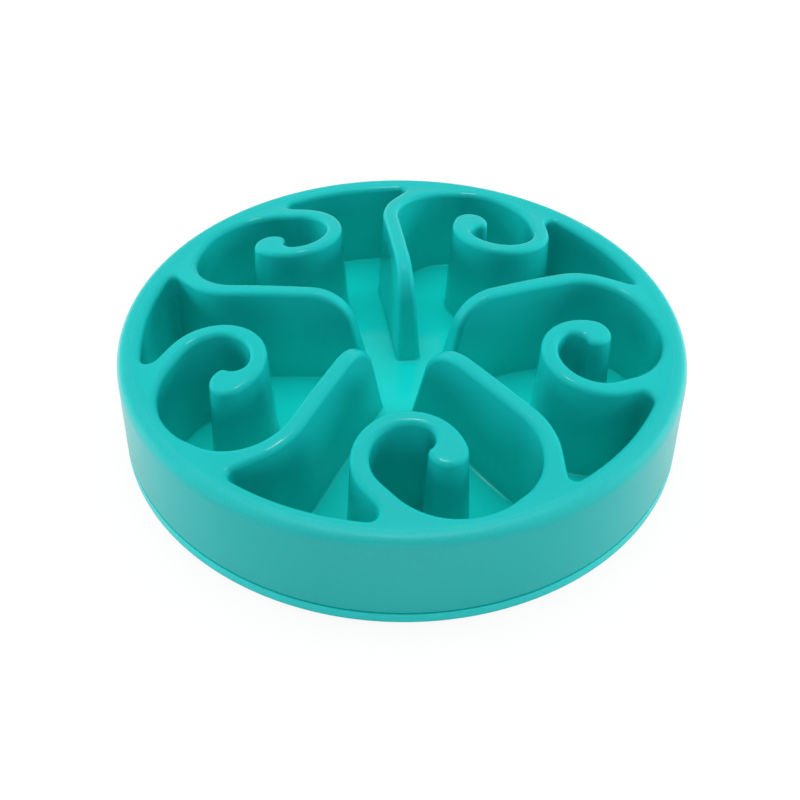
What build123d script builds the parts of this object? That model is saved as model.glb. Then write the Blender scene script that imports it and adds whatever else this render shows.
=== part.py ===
from build123d import *
from math import asin, atan2, cos, degrees, hypot, radians, sin, sqrt, tan
import os

# Slow feeder bowl in millimetres. Z is up, the table is z = 0 and the bowl's axis is the Z axis.
# The maze repeats around the axis: each sector has one hook and one divider that grow out of the rim.
# Angles are counter-clockwise from +X, for the sector whose divider points at +Y.

# Rim, skirt and wall
sectors = 5
rim_radius = 100.0
rim_width = 8.1
rim_height = 38.1
rim_round = 4.0
base_flare = 1.3
wall = 2.0

# Ridges: their tops rise from the flat rim to a crown, and their sides lean out towards the floor.
# The outline below is the one at a drop under the crown's top.
ridge_width = 5.9
ridge_draft = 3.0
ridge_round = 2.0
crown_rise = 9.7
outline_drop = 5.4

# Hook: a ring of ridge that curls into a round head with a notch behind it.
# The plan of the maze follows the rim, so these are shares of the rim's radius.
hook_setback = 0.235 * rim_radius
hook_angle = 56.4
hook_radius = 0.128 * rim_radius
hook_root = 0.065 * rim_radius
head_radius = 0.064 * rim_radius
head_angle = 159.5
notch_radius = 0.047 * rim_radius
notch_angle = 209.7
beak_round = 0.45

# Swept wall between a hook and the divider after it
sweep_radius = 0.266 * rim_radius
sweep_angle = 69.1

# Divider: a bend at the rim, a straight run towards the axis and a sloping end
bend_setback = 0.228 * rim_radius
bend_angle = 74.6
bend_radius = 0.205 * rim_radius
bend_root = 0.088 * rim_radius
tip_radius = 0.11 * rim_radius
tip_angle = 74.0
end_foot = 0.131 * rim_radius
end_lean = 12.5
end_shoulder = 15.0

# Corners where the hook and the divider leave the rim, as they are at the foot of the wall
hook_corner_foot = 1.35
bend_corner_foot = 0.45

# Floor: flat at the outside, with a dome in the middle
floor_level = 3.9
dome_rise = 7.1
dome_radius = 0.63 * rim_radius
dome_blend = 0.6 * rim_radius
floor_round = 0.8

# Base ring: a band under the skirt, a spigot that snaps into it and a flange for the feet
foot_proud = 1.5
band_height = 4.1
band_round = 0.8
groove_height = 0.9
groove_depth = 0.7
groove_round = 0.25
spigot_height = 8.0
spigot_wall = 1.2
bead_radius = 0.5
flange = 2.6
fit_gap = 0.15

# Feet: rubber bumpers pushed through the flange
foot_radius = 3.0
foot_edge = 0.6
foot_recess = 0.9
stem_radius = 1.5
barb_radius = 1.9
barb_height = 1.8
foot_inset = 0.5
first_foot_angle = 90.0

# Room beyond a piece for the tools that cut it
clear = 1.0

# Sizes that follow from these
rim_inner = rim_radius - rim_width
base_radius = rim_radius + base_flare
beak_radius = wall + beak_round
hook_outer = hook_radius + ridge_width
bend_outer = bend_radius + ridge_width
lean = tan(radians(ridge_draft))
end_slope = tan(radians(end_lean))
crown_top = rim_height + crown_rise
crown_radius = (rim_inner**2 + crown_rise**2) / (2 * crown_rise)
crown_centre = crown_top - crown_radius
crown_turn = asin(rim_inner / crown_radius)
crown_blend = 0.8 * (rim_width - rim_round) / tan(crown_turn / 2)
outline_height = crown_top - outline_drop
hook_corner = hook_corner_foot + outline_height * lean
bend_corner = bend_corner_foot + outline_height * lean
dome_top = floor_level + dome_rise
dome_sphere = (dome_radius**2 + dome_rise**2) / (2 * dome_rise)
groove_bottom = foot_proud + band_height
skirt_foot = groove_bottom + groove_height
snap_height = skirt_foot + spigot_height / 2
skirt_slope = base_flare / (rim_height - foot_proud)
flange_top = foot_proud + flange
flange_inner = rim_inner - (outline_height - flange_top) * lean + wall + 2 * fit_gap
foot_circle = flange_inner + foot_inset + foot_radius


def polar(radius, angle):
    return Vector(radius * cos(radians(angle)), radius * sin(radians(angle)))


def meet(first, first_reach, second, second_reach, side):
    """Point at a given reach from two centres, left (1) or right (-1) of the line that joins them."""
    gap = second - first
    along = (first_reach**2 - second_reach**2 + gap.length**2) / (2 * gap.length)
    across = sqrt(first_reach**2 - along**2)
    unit = gap.normalized()
    return first + unit * along + Vector(-unit.Y, unit.X) * across * side


def heading(first, second):
    """Direction, in degrees, of the common tangent that leaves one wheel for the next."""
    (centre, radius), (next_centre, next_radius) = first, second
    gap = next_centre - centre
    tilt = round((next_radius - radius) / gap.length, 9)
    return degrees(atan2(gap.Y, gap.X) - asin(tilt))


def skirt(height):
    return base_radius - (height - foot_proud) * skirt_slope


# Outline of one sector as a belt around wheels, with the food space on its left.
# A wheel is a centre and a radius, negative where the belt turns right around a ridge.
axis_point = Vector(0, 0)
hook = polar(rim_inner - hook_setback, hook_angle)
head = hook + polar(hook_outer - head_radius, head_angle)
notch = hook + polar(hook_radius - notch_radius, notch_angle)
beak = meet(head, head_radius - beak_radius, notch, notch_radius + beak_radius, 1)
sweep_centre = polar(rim_inner - sweep_radius, sweep_angle)
bend = polar(rim_inner - bend_setback, bend_angle)
tip = polar(tip_radius, tip_angle)
hook_reach = hypot(hook_outer + hook_corner, hook_root)
bend_reach = hypot(bend_outer + bend_corner, bend_root)
hook_fillet = meet(axis_point, rim_inner - hook_corner, hook, hook_reach, -1)
bend_fillet = meet(axis_point, rim_inner - bend_corner, bend, bend_reach, 1)
sector = [
    (hook_fillet, hook_corner),
    (hook, -hook_outer),
    (head, -head_radius),
    (beak, -beak_radius),
    (notch, notch_radius),
    (hook, hook_radius),
    (sweep_centre, sweep_radius),
    (bend, bend_radius),
    (tip, -ridge_width / 2),
    (bend, -bend_outer),
    (bend_fillet, bend_corner),
    (axis_point, rim_inner),
]
divider_heading = heading((bend, bend_radius), (tip, -ridge_width / 2))
divider_out = polar(-1, divider_heading)


def maze_face(height, grow):
    """Outline of the food space at a height, grown outwards into the ridges."""
    inset = (outline_height - height) * lean - grow
    turns = [360 / sectors * turn for turn in range(sectors)]
    belt = [(centre.rotate(Axis.Z, turn), radius - inset) for turn in turns for centre, radius in sector]
    leaving = [heading(one, two) for one, two in zip(belt, belt[1:] + belt[:1])]
    with BuildSketch(Plane.XY.offset(height)) as face:
        with BuildLine():
            arcs = []
            for (centre, radius), before, after in zip(belt, leaving[-1:] + leaving[:-1], leaving):
                if radius > 0:
                    arcs.append(CenterArc(centre, radius, before - 90, (after - before) % 360))
                else:
                    arcs.append(CenterArc(centre, -radius, before + 90, -((before - after) % 360)))
            for one, two in zip(arcs, arcs[1:] + arcs[:1]):
                if (two @ 0 - one @ 1).length > 0.001:
                    Line(one @ 1, two @ 0)
        make_face()
    return face.sketch


def maze(grow):
    """The drafted food space, without a floor, and with the divider ends cut to their slope."""
    top = crown_top - grow + clear
    bottom = -clear
    foot_side = end_foot + grow - (dome_top - bottom) * end_slope
    top_side = end_foot + grow + (top - dome_top) * end_slope
    near_side = tip.dot(divider_out) - ridge_width / 2 - (outline_height - bottom) * lean - 2 * clear
    half_width = ridge_width / 2 + (outline_height - bottom) * lean + 2 * clear
    along = Plane(
        origin=tip - divider_out * tip.dot(divider_out),
        x_dir=divider_out,
        z_dir=(divider_out.Y, -divider_out.X, 0),
    )
    with BuildPart() as end_cut:
        with BuildSketch(along):
            with BuildLine():
                ends = (near_side, bottom), (foot_side, bottom), (top_side, top), (near_side, top)
                Polyline(*ends, close=True)
            make_face()
        extrude(amount=half_width, both=True)
    with BuildPart() as space:
        loft([maze_face(bottom, grow), maze_face(top, grow)], ruled=True)
        with PolarLocations(0, sectors):
            add(end_cut.part)
    return space.part


def floor_profile(drop):
    """Edges of the floor's top, or of its underside at a drop below it, from the axis outwards."""
    sphere = dome_sphere - drop
    edge = sqrt(sphere**2 - (sphere - dome_rise) ** 2)
    RadiusArc((0, dome_top - drop), (edge, floor_level - drop), sphere)
    return edge


def corners_at(radius):
    """Corners of the sketch in hand at a distance from the axis."""
    return vertices().filter_by(lambda corner: abs(corner.X - radius) < 0.001)


def border(faces):
    """Edges that belong to one of the faces only."""
    edges = faces.edges()
    return [edge for edge in edges if edges.count(edge) == 1]


def floor_faces(faces):
    return faces.filter_by(lambda face: face.normal_at().Z > 0.5 and face.center().Z < dome_top)


def ridge_ends(faces):
    """The sloping faces at the inner ends of the dividers."""
    return faces.filter_by(lambda face: abs(face.normal_at().Z - sin(radians(end_lean))) < 0.001)


# Body under the floor of the food space
with BuildPart() as under_floor:
    with BuildSketch(Plane.XZ):
        with BuildLine():
            edge = floor_profile(0)
            outside = base_radius + clear
            Polyline(
                (edge, floor_level),
                (outside, floor_level),
                (outside, -2 * clear),
                (0, -2 * clear),
                (0, dome_top),
            )
        make_face()
        fillet(corners_at(edge), radius=dome_blend)
    revolve(axis=Axis.Z)

# Food space: everything above the floor and between the ridges
with BuildPart() as food_space:
    add(maze(0))
    add(under_floor.part, mode=Mode.SUBTRACT)

# Hollow of the moulding, open beneath: the skirt, rim and ridges less their wall
with BuildPart() as hollow:
    with BuildSketch(Plane.XZ):
        with BuildLine():
            roof = rim_height - wall
            crown_edge = sqrt((crown_radius - wall) ** 2 - (roof - crown_centre) ** 2)
            RadiusArc((0, crown_top - wall), (crown_edge, roof), crown_radius - wall)
            Polyline(
                (crown_edge, roof),
                (skirt(roof) - wall, roof),
                (skirt(-clear) - wall, -clear),
                (0, -clear),
                (0, crown_top - wall),
            )
        make_face()
    revolve(axis=Axis.Z)
    add(maze(wall), mode=Mode.SUBTRACT)
    brows = [face.edges().sort_by(Axis.Z)[-1] for face in ridge_ends(hollow.faces())]
    fillet(brows, radius=end_shoulder - wall)

# Bowl shell: one moulding with the rim, skirt, floor, hooks and dividers
with BuildPart() as bowl_shell:
    with BuildSketch(Plane.XZ):
        with BuildLine():
            underside = floor_level - wall
            edge = floor_profile(wall)
            channel = (rim_inner + skirt(skirt_foot) - wall) / 2
            Polyline(
                (edge, underside),
                (channel, underside),
                (channel, skirt_foot),
                (skirt(skirt_foot), skirt_foot),
                (rim_radius, rim_height),
                (rim_inner, rim_height),
            )
            RadiusArc((rim_inner, rim_height), (0, crown_top), -crown_radius)
            Line((0, crown_top), (0, dome_top - wall))
        make_face()
        fillet(corners_at(rim_inner), radius=crown_blend)
        fillet(corners_at(rim_radius), radius=rim_round)
        fillet(corners_at(skirt(skirt_foot)), radius=groove_round)
        fillet(corners_at(edge), radius=dome_blend)
    revolve(axis=Axis.Z)
    add(food_space.part, mode=Mode.SUBTRACT)
    brows = [face.edges().sort_by(Axis.Z)[-1] for face in ridge_ends(bowl_shell.faces())]
    fillet(brows, radius=end_shoulder)
    floors = floor_faces(bowl_shell.faces())
    tops = bowl_shell.faces().filter_by(lambda face: face.normal_at().Z > lean * 2 and face not in floors)
    rims = [edge for edge in border(tops) if edge not in floors.edges() and edge.length < rim_radius]
    fillet(rims, radius=ridge_round)
    fillet(border(floor_faces(bowl_shell.faces())), radius=floor_round)
    add(hollow.part, mode=Mode.SUBTRACT)
    snap = Vector(skirt(snap_height) - wall - fit_gap, snap_height)
    with BuildSketch(Plane.XZ):
        with Locations(snap):
            Circle(bead_radius + fit_gap)
    revolve(axis=Axis.Z, mode=Mode.SUBTRACT)
bowl_shell.part.label = "bowl_shell"

# Base ring: it carries the skirt's lower edge on a ledge and closes the groove under it
with BuildPart() as base_ring:
    spigot_top = skirt_foot + spigot_height
    spigot_foot = skirt(flange_top) - wall - fit_gap - spigot_wall
    with BuildSketch(Plane.XZ):
        with BuildLine():
            Polyline(
                (flange_inner, foot_proud),
                (base_radius, foot_proud),
                (skirt(groove_bottom), groove_bottom),
                (skirt(groove_bottom) - groove_depth, groove_bottom),
                (skirt(skirt_foot) - groove_depth, skirt_foot),
                (skirt(skirt_foot) - wall - fit_gap, skirt_foot),
                (skirt(spigot_top) - wall - fit_gap, spigot_top),
                (skirt(spigot_top) - wall - fit_gap - spigot_wall, spigot_top),
                (spigot_foot, flange_top),
                (flange_inner, flange_top),
                close=True,
            )
        make_face()
        fillet(corners_at(base_radius), radius=band_round)
        fillet(corners_at(skirt(groove_bottom)), radius=groove_round)
        with Locations(snap):
            Circle(bead_radius)
    revolve(axis=Axis.Z)
    with BuildSketch(Plane.XY.offset(foot_proud)):
        with PolarLocations(foot_circle, sectors, start_angle=first_foot_angle):
            Circle(foot_radius + fit_gap)
    extrude(amount=foot_recess, mode=Mode.SUBTRACT)
    with BuildSketch(Plane.XY.offset(foot_proud)):
        with PolarLocations(foot_circle, sectors, start_angle=first_foot_angle):
            Circle(stem_radius + fit_gap)
    extrude(amount=flange, mode=Mode.SUBTRACT)
base_ring.part.label = "base_ring"

os.makedirs("parts", exist_ok=True)
export_step(bowl_shell.part, "parts/bowl_shell.step")
export_step(base_ring.part, "parts/base_ring.step")

# Feet: a round head in the flange's recess, a stem through its hole and a barb above it
for number in range(1, sectors + 1):
    place = polar(foot_circle, first_foot_angle + 360 / sectors * (number - 1))
    with BuildPart() as foot:
        with BuildSketch(Plane(origin=place, x_dir=(1, 0, 0), z_dir=(0, -1, 0))):
            with BuildLine():
                Polyline(
                    (0, 0),
                    (foot_radius, 0),
                    (foot_radius, foot_proud + foot_recess),
                    (stem_radius, foot_proud + foot_recess),
                    (stem_radius, flange_top),
                    (barb_radius, flange_top),
                    (stem_radius, flange_top + barb_height),
                    (0, flange_top + barb_height),
                    close=True,
                )
            make_face()
            fillet(vertices().group_by(Axis.Y)[0].sort_by(Axis.X)[-1], radius=foot_edge)
        revolve(axis=Axis(place, (0, 0, 1)))
    foot.part.label = f"foot_{number}"
    export_step(foot.part, f"parts/foot_{number}.step")
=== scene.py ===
from math import cos, pi, radians, sin

import bmesh
import bpy
from mathutils import Matrix, Vector


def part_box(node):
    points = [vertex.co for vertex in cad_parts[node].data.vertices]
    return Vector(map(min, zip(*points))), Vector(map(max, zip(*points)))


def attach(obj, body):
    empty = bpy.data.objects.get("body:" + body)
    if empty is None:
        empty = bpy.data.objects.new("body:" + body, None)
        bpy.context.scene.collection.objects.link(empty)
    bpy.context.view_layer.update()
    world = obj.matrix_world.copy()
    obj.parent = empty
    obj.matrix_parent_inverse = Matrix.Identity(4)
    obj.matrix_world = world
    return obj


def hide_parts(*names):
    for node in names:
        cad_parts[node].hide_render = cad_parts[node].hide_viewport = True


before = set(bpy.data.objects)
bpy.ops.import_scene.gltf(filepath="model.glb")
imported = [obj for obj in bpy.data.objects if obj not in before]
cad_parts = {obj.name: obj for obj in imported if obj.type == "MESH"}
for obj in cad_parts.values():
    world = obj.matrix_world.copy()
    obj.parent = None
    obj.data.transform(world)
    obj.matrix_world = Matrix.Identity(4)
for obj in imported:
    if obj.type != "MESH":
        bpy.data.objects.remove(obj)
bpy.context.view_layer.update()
scene = bpy.context.scene


# Bowl shell: the dish itself, one injection moulding in turquoise plastic. Its tool was spark eroded on
# the outside, which leaves a fine satin grain on the skirt and the rim's outer edge, and polished by
# hand inside, so the ridges and the pockets between them are glossy.
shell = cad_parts["bowl_shell"]
bowl_pigment = (0.006, 0.43, 0.42, 1)
# Painted light: a lighter pigment that the pockets take low down, for their brighter floors.
bowl_low_painted_light = (0.005, 0.63, 0.59, 1)
polished_roughness, grained_roughness = 0.10, 0.45


def new_material(name):
    """A material with nothing in it but a Principled BSDF and its output."""
    material = bpy.data.materials.new(name)
    material.use_nodes = True
    tree = material.node_tree
    return material, tree, tree.nodes["Principled BSDF"]


def dress(piece, material):
    """Gives a piece the one material all over."""
    piece.data.materials.clear()
    piece.data.materials.append(material)


def new_group(name, inputs, outputs):
    """An empty shader node group, with the sockets that it takes from and gives to."""
    group = bpy.data.node_groups.new(name, "ShaderNodeTree")
    for label, kind, value in inputs:
        socket = group.interface.new_socket(label, in_out="INPUT", socket_type=kind)
        socket.default_value = value
    for label, kind in outputs:
        group.interface.new_socket(label, in_out="OUTPUT", socket_type=kind)
    entry = group.nodes.new("NodeGroupInput")
    leave = group.nodes.new("NodeGroupOutput")
    return group, entry.outputs, leave.inputs


def feed(tree, socket, term):
    """Sets a socket to a number, or links it to the socket that the number comes from."""
    if isinstance(term, (int, float)):
        socket.default_value = term
    else:
        tree.links.new(term, socket)


def calculate(tree, operation, *terms):
    """One step of arithmetic on numbers and sockets."""
    step = tree.nodes.new("ShaderNodeMath")
    step.operation = operation
    for socket, term in zip(step.inputs, terms):
        feed(tree, socket, term)
    return step.outputs["Value"]


def carry(tree, source, start, end, low=0, high=1, slope="LINEAR"):
    """Takes a value from one range to another and holds it at both ends."""
    carried = tree.nodes.new("ShaderNodeMapRange")
    carried.interpolation_type = slope
    feed(tree, carried.inputs["Value"], source)
    feed(tree, carried.inputs["From Min"], start)
    feed(tree, carried.inputs["From Max"], end)
    feed(tree, carried.inputs["To Min"], low)
    feed(tree, carried.inputs["To Max"], high)
    return carried.outputs["Result"]


def between(tree, share, first, second):
    """A value between two others, by a share."""
    mix = tree.nodes.new("ShaderNodeMix")
    feed(tree, mix.inputs["Factor"], share)
    feed(tree, mix.inputs["A"], first)
    feed(tree, mix.inputs["B"], second)
    return mix.outputs["Result"]


def mottle(tree, place, scale, detail, distortion=0):
    """Noise that is fixed to the piece, with its scale in cells per metre."""
    noise = tree.nodes.new("ShaderNodeTexNoise")
    noise.inputs["Scale"].default_value = scale
    noise.inputs["Detail"].default_value = detail
    noise.inputs["Distortion"].default_value = distortion
    tree.links.new(place, noise.inputs["Vector"])
    return noise.outputs["Fac"]


# The skin that a mould leaves on plastic: flow shades in the pigment, pits where the tool was eroded,
# and the slow ripple of a hand polish where it was not.
moulded_skin, taken, given = new_group(
    "moulded skin",
    inputs=[
        ("Place", "NodeSocketVector", (0, 0, 0)),
        ("Pigment", "NodeSocketColor", (0.5, 0.5, 0.5, 1)),
        ("Flow", "NodeSocketFloat", 0.05),
        ("Grain", "NodeSocketFloat", 0.5),
        ("Polished roughness", "NodeSocketFloat", 0.3),
        ("Grained roughness", "NodeSocketFloat", 0.5),
    ],
    outputs=[
        ("Colour", "NodeSocketColor"),
        ("Roughness", "NodeSocketFloat"),
        ("Height", "NodeSocketFloat"),
    ],
)
pit_shade, pit_roughness = 0.3, 0.06
flow = mottle(moulded_skin, taken["Place"], scale=22, detail=3, distortion=0.6)
pits = mottle(moulded_skin, taken["Place"], scale=1500, detail=2)
polish = mottle(moulded_skin, taken["Place"], scale=70, detail=1)
flow_swing = calculate(moulded_skin, "SUBTRACT", flow, 0.5)
flow_value = calculate(moulded_skin, "MULTIPLY_ADD", flow_swing, taken["Flow"], 1)
pit_swing = calculate(moulded_skin, "SUBTRACT", pits, 0.5)
pit_depth = calculate(moulded_skin, "MULTIPLY", pit_swing, taken["Grain"])
shade = calculate(moulded_skin, "MULTIPLY_ADD", pit_depth, pit_shade, flow_value)
tint = moulded_skin.nodes.new("ShaderNodeHueSaturation")
moulded_skin.links.new(taken["Pigment"], tint.inputs["Color"])
moulded_skin.links.new(shade, tint.inputs["Value"])
moulded_skin.links.new(tint.outputs["Color"], given["Colour"])
sheen_range = carry(
    moulded_skin, taken["Grain"], 0, 1, taken["Polished roughness"], taken["Grained roughness"]
)
sheen_spread = calculate(moulded_skin, "MULTIPLY_ADD", pits, pit_roughness, sheen_range)
moulded_skin.links.new(sheen_spread, given["Roughness"])
relief = between(moulded_skin, taken["Grain"], polish, pits)
moulded_skin.links.new(relief, given["Height"])


def put_skin(tree, surface, place, strength):
    """Puts the moulded skin on a surface, with its relief as a bump of up to a tenth of a millimetre."""
    skin = tree.nodes.new("ShaderNodeGroup")
    skin.node_tree = moulded_skin
    tree.links.new(place, skin.inputs["Place"])
    bump = tree.nodes.new("ShaderNodeBump")
    bump.inputs["Strength"].default_value = strength
    bump.inputs["Distance"].default_value = 0.0001
    tree.links.new(skin.outputs["Height"], bump.inputs["Height"])
    tree.links.new(skin.outputs["Colour"], surface.inputs["Base Color"])
    tree.links.new(skin.outputs["Roughness"], surface.inputs["Roughness"])
    tree.links.new(bump.outputs["Normal"], surface.inputs["Normal"])
    return skin


def moulded_plastic(name, pigment, painted_light_tone):
    """Turquoise plastic, satin on the skirt and the rim's outer edge and polished inside. Low down in
    the pockets its colour is painted lighter, as painted light for the brighter pocket floors."""
    material, tree, surface = new_material(name)
    place = tree.nodes.new("ShaderNodeTexCoord")
    spot = tree.nodes.new("ShaderNodeSeparateXYZ")
    tree.links.new(place.outputs["Object"], spot.inputs["Vector"])
    facing = tree.nodes.new("ShaderNodeSeparateXYZ")
    tree.links.new(place.outputs["Normal"], facing.inputs["Vector"])
    plan = tree.nodes.new("ShaderNodeCombineXYZ")
    tree.links.new(spot.outputs["X"], plan.inputs["X"])
    tree.links.new(spot.outputs["Y"], plan.inputs["Y"])
    reach = tree.nodes.new("ShaderNodeVectorMath")
    reach.operation = "LENGTH"
    tree.links.new(plan.outputs["Vector"], reach.inputs[0])
    radius, height, upward = reach.outputs["Value"], spot.outputs["Z"], facing.outputs["Z"]

    # Each stretch is where one finish goes over into the next, and the second in height is where the
    # painted light low in the pockets fades in: in metres from the axis, in metres above the table and,
    # for the last, by how far the surface faces up.
    skirt = carry(tree, radius, 0.0965, 0.0995, slope="SMOOTHSTEP")
    grain = carry(tree, radius, 0.0935, 0.0960, slope="SMOOTHSTEP")
    raised = carry(tree, height, 0.0324, 0.0364, slope="SMOOTHSTEP")
    low_down = carry(tree, height, 0.0414, 0.0134, slope="SMOOTHSTEP")
    level = carry(tree, upward, 0.15, 0.6, slope="SMOOTHSTEP")
    crest = calculate(tree, "MULTIPLY", raised, level)
    crest_or_skirt = calculate(tree, "MAXIMUM", skirt, crest)
    pocket = calculate(tree, "SUBTRACT", 1, crest_or_skirt)
    # Painted light: low in the pockets the pigment is mixed towards the lighter one.
    painted_light_mask = calculate(tree, "MULTIPLY", low_down, pocket)
    body = tree.nodes.new("ShaderNodeMix")
    body.data_type = "RGBA"
    body.inputs["A"].default_value = pigment
    body.inputs["B"].default_value = painted_light_tone
    tree.links.new(painted_light_mask, body.inputs["Factor"])

    skin = put_skin(tree, surface, place.outputs["Object"], strength=0.45)
    tree.links.new(body.outputs["Result"], skin.inputs["Pigment"])
    tree.links.new(grain, skin.inputs["Grain"])
    skin.inputs["Flow"].default_value = 0.08
    skin.inputs["Polished roughness"].default_value = polished_roughness
    skin.inputs["Grained roughness"].default_value = grained_roughness
    pitted = carry(tree, skin.outputs["Height"], 0.35, 0.65, low=0.5)
    satin = calculate(tree, "MULTIPLY", skirt, pitted)
    tree.links.new(satin, surface.inputs["Coat Weight"])
    surface.inputs["Coat Roughness"].default_value = 0.25
    surface.inputs["Specular IOR Level"].default_value = 0.3
    surface.inputs["IOR"].default_value = 1.5
    return material


dress(shell, moulded_plastic("bowl turquoise", bowl_pigment, bowl_low_painted_light))


# Base ring: the band under the groove, moulded in the same plastic and pushed into the skirt.
# Its section is one closed outline turned round the bowl's axis, with the band's edges rounded.
# The ring is turquoise like the bowl, but its pigment is painted lighter, as painted light so the band
# shows as bright as the skirt; the second pigment is the painted light low down, as on the bowl.
ring_tone_painted_lighter = (0.008, 0.60, 0.59, 1)
ring_low_painted_light = (0.005, 0.64, 0.60, 1)
ring_low, ring_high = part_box("base_ring")
band_foot, spigot_top = ring_low.z, ring_high.z
band_radius, flare = 0.1013, 0.0355
band_height, band_rounding = 0.0041, 0.0008
groove_height, groove_depth, groove_rounding = 0.0009, 0.0007, 0.00025
skirt_wall, spigot_wall = 0.00215, 0.0012
flange_inner, flange_height = 0.09219, 0.0026
crease = radians(35)
band_top = band_foot + band_height
ledge = band_top + groove_height
flange_top = band_foot + flange_height


def skirt_at(height):
    """Radius of the flared outside at a height."""
    return band_radius - (height - band_foot) * flare


ring_section = bmesh.new()
ring_outline = [
    (flange_inner, band_foot),
    (skirt_at(band_foot), band_foot),
    (skirt_at(band_top), band_top),
    (skirt_at(band_top) - groove_depth, band_top),
    (skirt_at(ledge) - groove_depth, ledge),
    (skirt_at(ledge) - skirt_wall, ledge),
    (skirt_at(spigot_top) - skirt_wall, spigot_top),
    (skirt_at(spigot_top) - skirt_wall - spigot_wall, spigot_top),
    (skirt_at(flange_top) - skirt_wall - spigot_wall, flange_top),
    (flange_inner, flange_top),
]
corners = [ring_section.verts.new((radius, 0, height)) for radius, height in ring_outline]
for first, second in zip(corners, corners[1:] + corners[:1]):
    ring_section.edges.new((first, second))
for corner, rounding in ((corners[1], band_rounding), (corners[2], groove_rounding)):
    bmesh.ops.bevel(
        ring_section,
        geom=[corner],
        offset=rounding,
        affect="VERTICES",
        segments=6,
        profile=0.5,
        material=-1,
    )
bmesh.ops.spin(
    ring_section,
    geom=ring_section.verts[:] + ring_section.edges[:],
    axis=(0, 0, 1),
    cent=(0, 0, 0),
    angle=2 * pi,
    steps=360,
    use_merge=True,
)
bmesh.ops.remove_doubles(ring_section, verts=ring_section.verts[:], dist=1e-6)
bmesh.ops.recalc_face_normals(ring_section, faces=ring_section.faces[:])
for face in ring_section.faces:
    face.smooth = True
for edge in ring_section.edges:
    edge.smooth = edge.calc_face_angle() < crease
ring_mesh = bpy.data.meshes.new("base_ring_band")
ring_section.to_mesh(ring_mesh)
ring_section.free()
ring = bpy.data.objects.new("base_ring_band", ring_mesh)
scene.collection.objects.link(ring)
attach(ring, "root")
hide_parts("base_ring")
dress(ring, moulded_plastic("ring turquoise", ring_tone_painted_lighter, ring_low_painted_light))


# Feet: five soft grey bumpers of moulded rubber that keep the bowl from sliding.
# Each has a stem that is pulled through a hole in the ring's flange and a barb that holds it there.
foot_rubber, foot_tree, foot_surface = new_material("foot rubber")
foot_place = foot_tree.nodes.new("ShaderNodeTexCoord")
foot_skin = put_skin(foot_tree, foot_surface, foot_place.outputs["Object"], strength=0.4)
foot_skin.inputs["Pigment"].default_value = (0.50, 0.52, 0.52, 1)
foot_skin.inputs["Flow"].default_value = 0.15
foot_skin.inputs["Grain"].default_value = 1
foot_skin.inputs["Grained roughness"].default_value = 0.72
for number in range(1, 6):
    dress(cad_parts[f"foot_{number}"], foot_rubber)


# Studio: a white floor and a white room. A wide soft lamp overhead, one at each side and a fill in
# front light the bowl, and a small lamp above gives its gloss a highlight. The gloss sees a dim room
# and a floor that darkens towards the viewer.
floor_radius, floor_glow = 6, 0.92
room_light = 0.43
bpy.ops.mesh.primitive_circle_add(
    vertices=96, radius=floor_radius, fill_type="NGON", location=(0, 0, 0)
)
floor = bpy.context.object
floor.name = "studio_floor"
floor_white, floor_tree, floor_surface = new_material("studio floor")
floor_surface.inputs["Base Color"].default_value = (0.92, 0.92, 0.92, 1)
floor_surface.inputs["Roughness"].default_value = 0.9
floor_surface.inputs["Specular IOR Level"].default_value = 0
rays = floor_tree.nodes.new("ShaderNodeLightPath").outputs
ground = floor_tree.nodes.new("ShaderNodeTexCoord")
depth = floor_tree.nodes.new("ShaderNodeSeparateXYZ")
floor_tree.links.new(ground.outputs["Object"], depth.inputs["Vector"])
mirrored_floor = carry(floor_tree, depth.outputs["Y"], -0.11, 0.02, low=0.05)
glow = floor_tree.nodes.new("ShaderNodeEmission")
brightness = between(floor_tree, rays["Is Camera Ray"], mirrored_floor, 1)
floor_tree.links.new(brightness, glow.inputs["Strength"])
seen = calculate(floor_tree, "MAXIMUM", rays["Is Camera Ray"], rays["Is Glossy Ray"])
glow_share = calculate(floor_tree, "MULTIPLY", seen, floor_glow)
floor_mix = floor_tree.nodes.new("ShaderNodeMixShader")
floor_tree.links.new(glow_share, floor_mix.inputs["Fac"])
floor_tree.links.new(floor_surface.outputs["BSDF"], floor_mix.inputs[1])
floor_tree.links.new(glow.outputs["Emission"], floor_mix.inputs[2])
floor_end = floor_tree.nodes["Material Output"]
floor_tree.links.new(floor_mix.outputs["Shader"], floor_end.inputs["Surface"])
dress(floor, floor_white)

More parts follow.
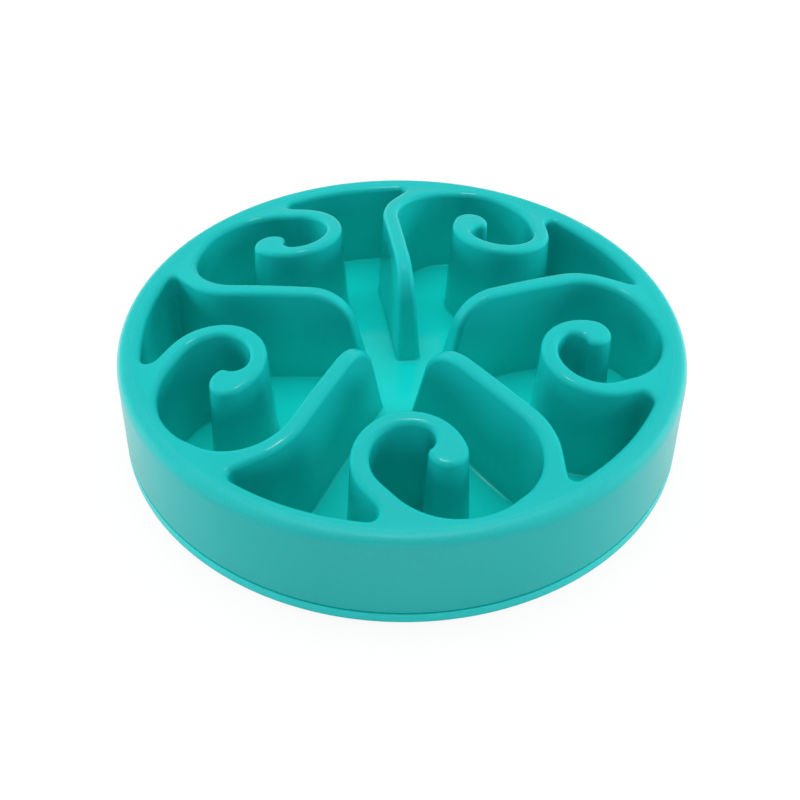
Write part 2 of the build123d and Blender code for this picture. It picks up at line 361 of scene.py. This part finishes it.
world = bpy.data.worlds.new("studio")
scene.world = world
world.use_nodes = True
room_tree = world.node_tree
rays = room_tree.nodes.new("ShaderNodeLightPath").outputs
direction = room_tree.nodes.new("ShaderNodeTexCoord")
split = room_tree.nodes.new("ShaderNodeSeparateXYZ")
room_tree.links.new(direction.outputs["Generated"], split.inputs["Vector"])
mirrored_room = carry(
    room_tree, split.outputs["Y"], -0.8, -0.3, low=0.02, high=0.29, slope="SMOOTHSTEP"
)
room = between(room_tree, rays["Is Glossy Ray"], room_light, mirrored_room)
backdrop = between(room_tree, rays["Is Camera Ray"], room, 1)
background = room_tree.nodes["Background"]
background.inputs["Color"].default_value = (1, 1, 1, 1)
room_tree.links.new(backdrop, background.inputs["Strength"])


def soft_lamp(name, place, size, power, aim=(0, 0, 0.02), mirrored=False):
    """A square area lamp at a place, turned to its aim, with or without a mirror image in the gloss."""
    lamp = bpy.data.lights.new(name, "AREA")
    lamp.size = size
    lamp.energy = power
    lamp_object = bpy.data.objects.new(name, lamp)
    lamp_object.location = place
    lamp_object.rotation_euler = (Vector(aim) - Vector(place)).to_track_quat("-Z", "Y").to_euler()
    lamp_object.visible_camera = False
    lamp_object.visible_glossy = mirrored
    scene.collection.objects.link(lamp_object)


soft_lamp("overhead", (0, 0.25, 1.0), size=0.8, power=6.0, aim=(0, 0, 0))
soft_lamp("highlight", (0, 0.05, 1.03), size=0.16, power=1.2, aim=(0, 0, 0), mirrored=True)
soft_lamp("left side", (-0.9, 0.2, 0.2), size=0.5, power=7.6)
soft_lamp("right side", (0.9, 0.2, 0.2), size=0.5, power=7.6)
soft_lamp("front fill", (0, -0.9, 0.12), size=0.4, power=1.9)


# Camera: it looks down on the bowl from the front, at the viewpoint solved from the rim, the groove
# and the base, with the photograph's small roll.
camera_data = bpy.data.cameras.new("camera")
camera_data.sensor_width = 36
camera_data.lens = 51.82
camera_data.clip_start = 0.01
camera = bpy.data.objects.new("camera", camera_data)
scene.collection.objects.link(camera)
elevation = radians(42.468)
roll = radians(0.7045)
distance = 0.43285
target = Vector((-0.000541, 0.000612, 0.0024))
back = Vector((0, -cos(elevation), sin(elevation)))
right = Vector((1, 0, 0))
up = Vector((0, sin(elevation), cos(elevation)))
across = right * cos(roll) + up * sin(roll)
above = up * cos(roll) - right * sin(roll)
stand = Matrix.Translation(target + back * distance)
turn = Matrix((across, above, back)).transposed().to_4x4()
camera.matrix_world = stand @ turn
scene.camera = camera
scene.view_settings.view_transform = "Standard"
